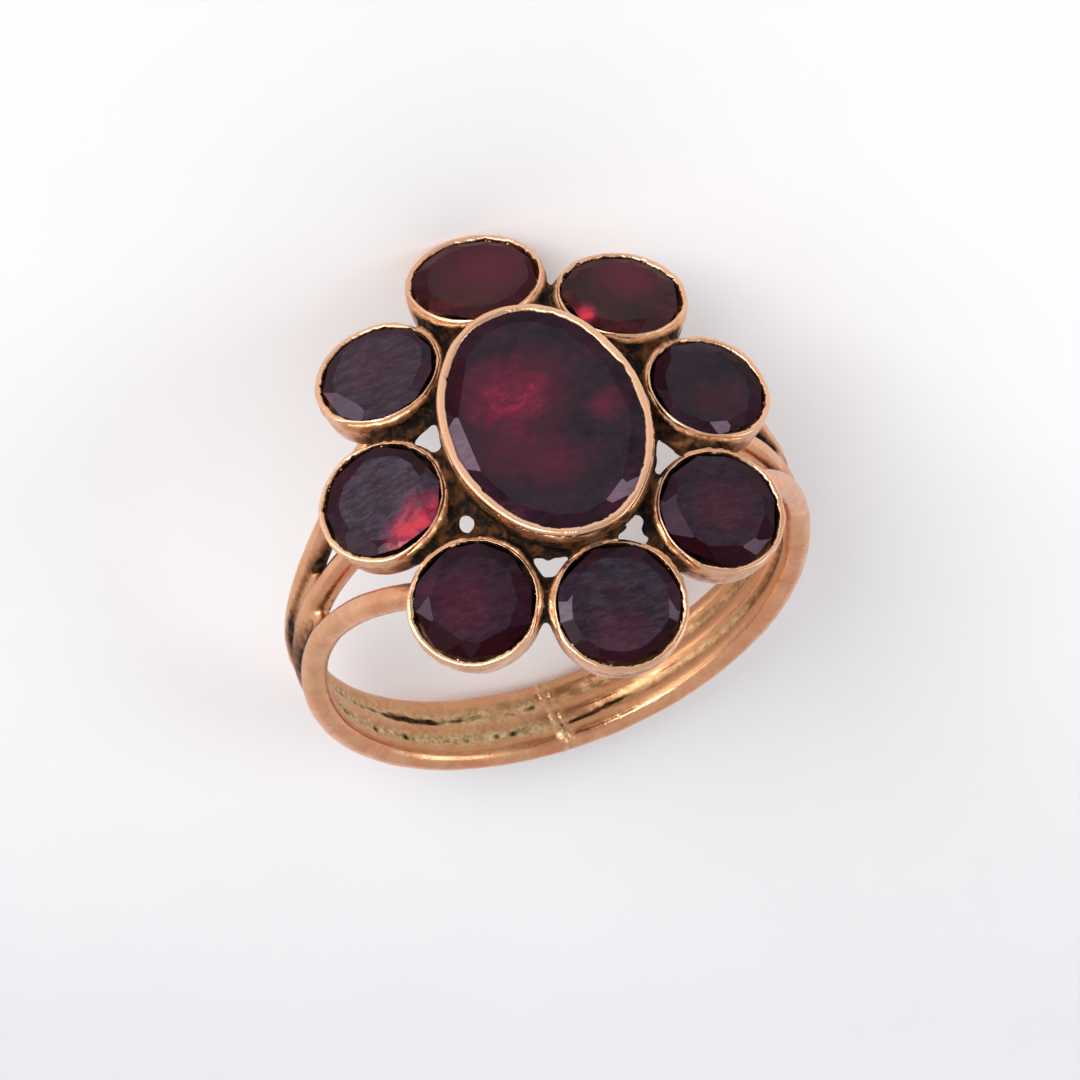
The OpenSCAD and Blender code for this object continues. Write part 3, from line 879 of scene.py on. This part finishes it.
def garnet_material(name, seed, haze, gloss, warm, painted_glows):
    """Dark garnet, warm red or plum: mottled, with painted red glows where light would come back out of it,
    painted light and shade on its facets, and a rubbed, hazy face. The glows are given as places in the part's
    millimetres, their reach and strength."""
    m, g, shader = new_material(name)
    place, p = g.coords(), g.coords(turn=(seed, seed * 0.7, seed * 0.3))
    table, shade = g.attribute("table"), g.attribute("shade")
    fibres = g.noise(g.coords((900, 2600, 1700), (0.4 + seed, 0.9, 0.2)), 1.0, 6, 0.7, 0.8)
    veil = g.noise(p, 0.8, 5, 0.62, 0.6)
    flecks = g.noise(p, 5.5, 4, 0.75, 0.3)
    f = g.add(g.mul(g.span(veil, 0.36, 0.64), 0.5), g.span(fibres, 0.3, 0.7, -0.12, 0.22))
    f = g.add(f, g.span(flecks, 0.3, 0.7, -0.12, 0.14), True)
    blurred = g.add(g.span(veil, 0.3, 0.7, -0.35, 0.35), g.span(flecks, 0.3, 0.7, -0.12, 0.12))
    # painted glow: clouds of red where light would come back out of the stone
    painted_glow_sum = 0.0
    for at, reach, strength in painted_glows:
        near = g.add(g.vector("DISTANCE", place, at), g.mul(blurred, reach))
        near = g.span(near, reach, 0.0, 0, strength)
        painted_glow_sum = g.add(painted_glow_sum, near, True)
    shades = ((srgb(30, 12, 16), srgb(66, 24, 28), srgb(104, 34, 36)) if warm else
              (srgb(17, 14, 20), srgb(52, 27, 42), srgb(92, 30, 50)))
    colour = g.mix(g.span(f, 0.0, 0.45), shades[0], shades[1])
    colour = g.mix(g.span(f, 0.45, 0.9), colour, shades[2])
    glow = g.mul(painted_glow_sum, g.span(fibres, 0.25, 0.75, 0.65, 1.15))
    colour = g.mix(g.span(glow, 0.0, 0.6), colour, srgb(138, 26, 62))
    colour = g.mix(g.span(glow, 0.45, 1.0), colour, srgb(236, 62, 74))
    # painted light and shade on the facets: some painted dark, some painted as catching the light
    facet = g.math("MAXIMUM", table, g.span(shade, 0.0, 0.6, 0.1, 1.0))
    colour = g.mix(facet, srgb(34, 5, 10), colour)
    dust = g.noise(g.coords((600, 2100, 2100), (0.2, 0.7, 1.9 + seed)), 2.2, 5, 0.75)
    film = g.mul(g.span(g.add(dust, g.mul(veil, -0.4)), 0.15, 0.5), haze, True)
    film = g.mul(film, g.math("MAXIMUM", table, g.mul(shade, 0.8)))
    # painted reflection: the lightest facets get a pale lilac film as if they caught a lamp
    painted_facet_glint = g.mul(g.math("SUBTRACT", 1.0, table), g.span(shade, 0.82, 1.0))
    film = g.math("MAXIMUM", film, g.mul(painted_facet_glint, g.span(dust, 0.3, 0.7, 0.6, 1.0)))
    colour = g.mix(g.mul(film, 0.55), colour, g.mix(painted_facet_glint, srgb(92, 80, 96), srgb(150, 128, 146)))
    g.plug(colour, shader.inputs["Base Color"])
    g.plug(g.add(g.span(flecks, 0.35, 0.75, 0.04, 0.12), g.mul(film, 0.12)), shader.inputs["Roughness"])
    clear = g.mul(g.span(film, 0, 1, 0.45, 0.15), g.mul(facet, g.span(table, 0, 1, 0.5, 1.0)))
    g.plug(clear, shader.inputs["Transmission Weight"])
    shader.inputs["IOR"].default_value = 1.4
    g.plug(g.mul(gloss, facet), shader.inputs["Specular IOR Level"])
    scratch = g.noise(g.coords((300, 2600, 2600), (0.3, 0.5, 0.9 + seed)), 3.0, 2, 0.5)
    height = g.add(g.mul(g.noise(p, 5.0, 2, 0.5), 0.006), g.mul(scratch, 0.004))
    g.plug(g.bump(height, 0.35), shader.inputs["Normal"])
    return m


GOLD = gold_material()

# ---- the gold
t = 1.5 * pi + 2 * pi * closer_at_middle(MIDDLE_STEPS, endpoint=False)
middle = np.stack([HOOP_R * np.cos(t), 0.012 * np.sin(3 * t + 1), HOOP_R * np.sin(t)], 1)
wires = [wire(outer_path(-1), False, 0.0), wire(outer_path(1), False, 20.0), wire(middle, True, 40.0)]
shank = add_mesh("gold_wires", *join(wires), GOLD)

parts = []
section = rim_profile(LIP, WALL_H, ROUND_H, (ROUND_H - WALL_H) * tan(TAPER))
for i, (spot, axes) in enumerate(PLACES):
    open_r = STONES[i][2]
    parts.append(collet(lambda phi, out: ((open_r + out) * np.cos(phi), (open_r + out) * np.sin(phi)), axes, spot,
                        section, ROUND_STEPS, 5 + i, LIP, -0.9 * open_r,
                        lambda phi: 0.6 + 0.4 * held((np.cos(phi) + 0.15) / 0.4)))
section = rim_profile(CENTRE_LIP, CENTRE_WALL_H, CENTRE_H, (CENTRE_H - CENTRE_WALL_H) * tan(CENTRE_CUP), 0.02)
parts.append(collet(oval_point, np.eye(3), CENTRE_AT, section, OVAL_STEPS, 31, CENTRE_LIP, -1.9))
collets = add_mesh("gold_collets", *join(parts), GOLD)

# solder: the field's surface where it stands outside the plain shapes, made lumpy in the head
verts, quads = surface(field + 0.02)
shown = (sample(nearest, verts) > -0.03) & ~in_opening(verts)
quads = quads[shown[quads].any(1)]
used, quads = np.unique(quads, return_inverse=True)
verts, quads = verts[used], quads.reshape(-1, 4)
head = held((verts[:, 2] - 8) / 1.5)
lumps = (0.010 + 0.045 * head) * noise_b(verts, 0.42) + (0.006 + 0.028 * head) * noise_c(verts, 0.2)
verts = verts + lumps[:, None] * np.array([0.45, 0.45, 0.77])
raised = hoop_marks(verts)[2] * (verts[:, 2] < HOOP_TOP)
verts[:, [0, 2]] *= (1 - raised / np.hypot(verts[:, 0], verts[:, 2]))[:, None]
solder = add_mesh("gold_solder", verts, quads.tolist(), GOLD, solder=1.0)

for piece in (shank, collets, solder):
    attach(piece, "root")
    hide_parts("gold_mount")

# ---- the stones
def clipped(face, point, normal):
    """The part of a flat polygon behind a plane."""
    side = [float(np.dot(v - point, normal)) for v in face]
    out = []
    for k in range(len(face)):
        a, b, da, db = face[k - 1], face[k], side[k - 1], side[k]
        if (da > 0) != (db > 0):
            out.append(a + (b - a) * (da / (da - db)))
        if db <= 0:
            out.append(b)
    return out


def cut_stone(outline, thick, facets, name, material, axes, at, lit):
    """A stone ground from a blank: what is left behind all its planes. Each facet is a point and a
    direction. lit gives facets a painted lightness, painted light and shade, by their direction in the picture."""
    blank = [((0, 0, 0.2), (0, 0, 1)), ((0, 0, -thick), (0, 0, -1))]
    blank += [((*a, 0), (b[1] - a[1], a[0] - b[0], 0)) for a, b in zip(outline, np.roll(outline, -1, 0))]
    planes = [(np.array(point, float), unit(normal)) for point, normal in blank + facets]
    bm = bmesh.new()
    for k, (point, normal) in enumerate(planes):
        u = unit(np.cross(normal, [0.31, 0.53, 0.79]))
        v = np.cross(normal, u)
        face = [point + 20 * (a * u + b * v) for a, b in ((-1, -1), (1, -1), (1, 1), (-1, 1))]
        for j, (p, q) in enumerate(planes):
            if j != k:
                face = clipped(face, p, q)
                if len(face) < 3:
                    break
        if len(face) > 2:
            bm.faces.new([bm.verts.new(c) for c in face])
    bmesh.ops.remove_doubles(bm, verts=bm.verts, dist=0.004)
    bmesh.ops.recalc_face_normals(bm, faces=bm.faces)
    bmesh.ops.bevel(bm, geom=[e for e in bm.edges if len(e.link_faces) == 2 and e.calc_face_angle(0) > 0.1],
                    offset=0.012, segments=1, affect="EDGES", clamp_overlap=True)
    verts = np.array([v.co[:] for v in bm.verts])
    faces = [[v.index for v in f.verts] for f in bm.faces]
    middles = np.array([f.calc_center_median()[:] for f in bm.faces])
    normals = np.array([f.normal[:] for f in bm.faces])
    bm.free()
    stone = add_mesh(name, verts @ axes.T + at, faces, material, smooth=False)
    # painted light and shade on the facets, fixed to the stone
    # dull, light and dark facets as in the photograph, by where they lie for its camera
    seen_at = np.degrees(np.arctan2(middles @ axes.T @ CAM_UP, middles @ axes.T @ CAM_RIGHT))
    shade = 0.42 + 0.5 * noise_b(normals + at, 0.35)
    for angle, half, value in lit:
        shade = np.where(np.abs((seen_at - angle + 180) % 360 - 180) < half, value, shade)
    tell(stone.data, "FACE", table=normals[:, 2] > 0.995, shade=held(shade))
    return stone


def tilted(deg, slope, up=1):
    """A facet's direction: towards deg, sloping from the table's, or the back's with up -1."""
    b = radians(slope)
    return spun(deg, sin(b), up * cos(b))


def round_facets(open_r, n, table, turn, slope, seed):
    """Table, main facets, small ones between them at the edge, and a flat-cut back."""
    rng = np.random.default_rng(seed)
    out = [((0, 0, TABLE_Z), tilted(rng.uniform(0, 360), rng.uniform(0.2, 1.2)))]
    for k in range(n):
        deg = turn + 360 * k / n + rng.uniform(-5, 5)
        t = table * open_r * rng.uniform(0.93, 1.05)
        out.append((spun(deg, t, TABLE_Z), tilted(deg, slope + rng.uniform(-2, 2))))
        half = deg + 180 / n + rng.uniform(-4, 4)
        drop = (open_r - t) * tan(radians(slope))
        out.append((spun(half, 0.9 * open_r, TABLE_Z - 0.72 * drop), tilted(half, slope + 5)))
        out.append((spun(half, 0.62 * open_r, -0.62), tilted(half, 38 + rng.uniform(-5, 5), -1)))
    return out


def centre_facets(n, table, slope, seed):
    """The same for the oval stone."""
    rng = np.random.default_rng(seed)
    out = [((0, 0, TABLE_Z), tilted(200, 0.6))]
    for k in range(n):
        f = 2 * pi * (k + rng.uniform(-0.15, 0.15)) / n
        edge = oval_point(f, -(1 - table) * CENTRE_W / 2 * rng.uniform(0.85, 1.15))
        out.append(((*edge, TABLE_Z), tilted(degrees(f), slope + rng.uniform(-2, 2))))
        f += pi / n
        out.append(((*oval_point(f, -0.2), TABLE_Z - 0.08), tilted(degrees(f), slope + 6)))
        out.append(((*oval_point(f, -1.5), -1.4), tilted(degrees(f), 36 + rng.uniform(-5, 5), -1)))
    return out


def seen(spot, axes, right, up):
    """The point of a stone's plane that lies so far right and up of its middle for the camera."""
    m = np.array([CAM_RIGHT @ axes[:, :2], CAM_UP @ axes[:, :2]])
    return spot + axes[:, :2] @ np.linalg.solve(m, np.array([right, up]))


# main facets, table's share of the opening, turn, slope, seed, haze, gloss, warm red or plum,
# painted red glows: right, up, reach, strength,
# facets with painted light or shade: direction in the picture, half width, lightness
CUTS = [
    (12, 0.80, 4, 13, 21, 0.06, 0.05, True, [(0.4, 0.3, 2.2, 0.28)], [(-90, 60, 0.5)]),
    (12, 0.74, 11, 13, 22, 0.06, 0.06, True, [(-1.2, -0.72, 0.6, 1.4), (0.2, 0.5, 1.4, 0.36)],
     [(-30, 22, 0.84), (-90, 30, 0.4), (90, 60, 0.4)]),
    (12, 0.74, 20, 14, 23, 0.16, 0.06, False, [(0.2, -0.5, 0.9, 0.12)],
     [(-75, 12, 1.0), (-125, 26, 0.84), (160, 25, 0.1), (20, 60, 0.3)]),
    (11, 0.72, 7, 14, 24, 0.5, 0.2, False, [(0.1, 0.0, 1.4, 0.14)],
     [(-50, 14, 0.95), (185, 22, 0.9), (238, 24, 0.0), (-80, 14, 0.1), (30, 50, 0.3)]),
    (16, 0.80, 0, 14, 25, 0.8, 0.16, False, [(0.0, -1.2, 1.3, 0.14)],
     [(184, 8, 1.0), (-4, 14, 0.95), (90, 60, 0.2), (-90, 66, 0.12)]),
    (10, 0.70, 15, 14, 26, 0.5, 0.03, False, [(-0.3, -0.1, 1.6, 0.2)],
     [(196, 16, 0.92), (160, 16, 0.6), (-100, 62, 0.03), (0, 36, 0.25), (90, 40, 0.3)]),
    (14, 0.74, 9, 13, 27, 1.2, 0.22, False, [(1.45, -0.7, 1.25, 1.15), (0.75, -1.4, 0.9, 0.8)],
     [(-30, 45, 0.7), (90, 60, 0.15), (225, 30, 0.25)]),
    (11, 0.78, 2, 13, 28, 0.9, 0.16, False, [(-0.2, 0.2, 1.4, 0.08)], [(225, 20, 0.95), (-60, 30, 0.85)])]
# painted red glows, and painted light and shade on the facets, of the oval stone
OVAL_PAINTED_GLOWS = [(-1.6, 0.8, 1.7, 0.52), (-0.4, 1.1, 1.8, 0.22), (-1.0, -0.9, 1.9, 0.22), (2.1, 0.4, 0.8, 0.4),
               (0.5, -1.6, 1.2, 0.2)]
OVAL_LIT = [(-40, 9, 1.0), (200, 14, 1.0), (-100, 26, 0.35), (90, 60, 0.3), (40, 30, 0.4)]


def painted_glows_at(spot, axes, painted_glows):
    """The same painted red glows, with places in the part's millimetres."""
    return [(to_part(seen(spot, axes, *at)) * 1000, reach, strength) for *at, reach, strength in painted_glows]


phi = circle(96)
for i, (n, table, turn, slope, seed, haze, gloss, warm, painted_glows, lit) in enumerate(CUTS):
    spot, axes = PLACES[i]
    edge = STONES[i][2] + ROUND_UNDER + 0.01 * around(phi, 300 + i)
    facets = round_facets(STONES[i][2], n, table, turn, slope, seed)
    material = garnet_material(f"garnet_{i + 1}", 1.3 * i + 0.4, haze, gloss, warm, painted_glows_at(spot, axes, painted_glows))
    stone = cut_stone(np.stack([edge * np.cos(phi), edge * np.sin(phi)], 1), ROUND_THICK, facets,
                      f"garnet_round_{i + 1}", material, axes, spot, lit)
    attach(stone, "root")
    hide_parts(f"round_stone_{i + 1}")
phi = circle(160)
material = garnet_material("garnet_oval", 9.1, 0.3, 0.05, False, painted_glows_at(CENTRE_AT, np.eye(3), OVAL_PAINTED_GLOWS))
stone = cut_stone(np.stack(oval_point(phi, OVAL_UNDER + 0 * phi), 1), OVAL_THICK, centre_facets(14, 0.84, 17, 31),
                  "garnet_oval", material, np.eye(3), CENTRE_AT, OVAL_LIT)
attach(stone, "root")
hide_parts("oval_stone")

# ---- light and camera
def aimed(right, back, at):
    """The matrix of a camera or light from its axes and place about the finger hole."""
    back = unit(back)
    right = unit(right - (right @ back) * back)
    m = np.eye(4)
    m[:3, :3] = LAY @ np.stack([right, np.cross(back, right), back], 1)
    m[:3, 3] = to_part(at)
    return Matrix(m.tolist())


cam_data = bpy.data.cameras.new("camera")
cam_data.sensor_width = 36
cam_data.lens = 36 * FOCAL_PX / 1080
cam_data.clip_start, cam_data.clip_end = 0.01, 10
cam = show("camera", cam_data)
off_middle = (HOLE_PX[0] * CAM_RIGHT + HOLE_PX[1] * CAM_UP) / FOCAL_PX
cam.matrix_world = aimed(CAM_RIGHT, CAM_AWAY + off_middle, CAM_AWAY * FOCAL_PX / PX_PER_MM)
bpy.context.scene.camera = cam


LIGHT_SIZE = 0.2


def soft_light(name, toward, distance, power):
    """A round soft light. toward is as the camera sees it: right, up, towards the camera."""
    d = unit(toward[0] * CAM_RIGHT + toward[1] * CAM_UP + toward[2] * CAM_AWAY)
    data = bpy.data.lights.new(name, "AREA")
    data.shape, data.size, data.energy = "DISK", LIGHT_SIZE, power
    side = CAM_RIGHT if abs(d @ CAM_RIGHT) < 0.9 else CAM_UP
    show(name, data).matrix_world = aimed(side, d, d * distance * 1000)


sun_from = unit(-0.35 * CAM_RIGHT + 0.15 * CAM_UP + 0.85 * CAM_AWAY)
sun_data = bpy.data.lights.new("sun", "SUN")
sun_data.energy, sun_data.angle = 1.75, radians(32)
show("sun", sun_data).matrix_world = aimed(CAM_RIGHT, sun_from, sun_from * 300)
soft_light("left", (-0.85, 0.2, 0.5), 0.3, 0.3)
soft_light("right", (0.9, -0.1, 0.35), 0.35, 0.2)

# a pale room, a little darker towards where the camera stands
world = bpy.data.worlds.new("studio")
bpy.context.scene.world = world
world.use_nodes = True
g = Graph(world.node_tree)
high = g.along(g.node("ShaderNodeTexCoord", out="Generated"), 0.35 * CAM_UP + 0.93 * CAM_AWAY)
room = g.mix(g.span(high, 0.6, 0.86), (0.68, 0.675, 0.69, 1), (0.48, 0.48, 0.49, 1))
background = world.node_tree.nodes["Background"]
g.plug(room, background.inputs["Color"])
background.inputs["Strength"].default_value = 1.0
bpy.context.scene.view_settings.view_transform = "Standard"
bpy.context.scene.view_settings.look = "None"

FLOOR_HALF = 1.5
corners = [(a * FLOOR_HALF, b * FLOOR_HALF, 0) for a, b in ((-1, -1), (1, -1), (1, 1), (-1, 1))]
floor_mesh = bpy.data.meshes.new("floor")
floor_mesh.from_pydata(corners, [], [(0, 1, 2, 3)])
floor = show("floor", floor_mesh)
paper, g, shader = new_material("floor_paper")
# painted light: the floor is a little paler up in the picture, with paper grain
far = g.along(g.coords(), 0.181 * CAM_RIGHT + 0.833 * CAM_UP + 0.522 * CAM_AWAY)
grain = g.noise(g.coords(), 0.12, 4, 0.6)
painted_light_and_grain = g.add(g.span(far, -24, -6), g.span(grain, 0.3, 0.7, -0.06, 0.06), True)
g.plug(g.mix(painted_light_and_grain, (0.83, 0.82, 0.84, 1), (0.97, 0.965, 0.975, 1)), shader.inputs["Base Color"])
shader.inputs["Roughness"].default_value = 0.7
floor_mesh.materials.append(paper)
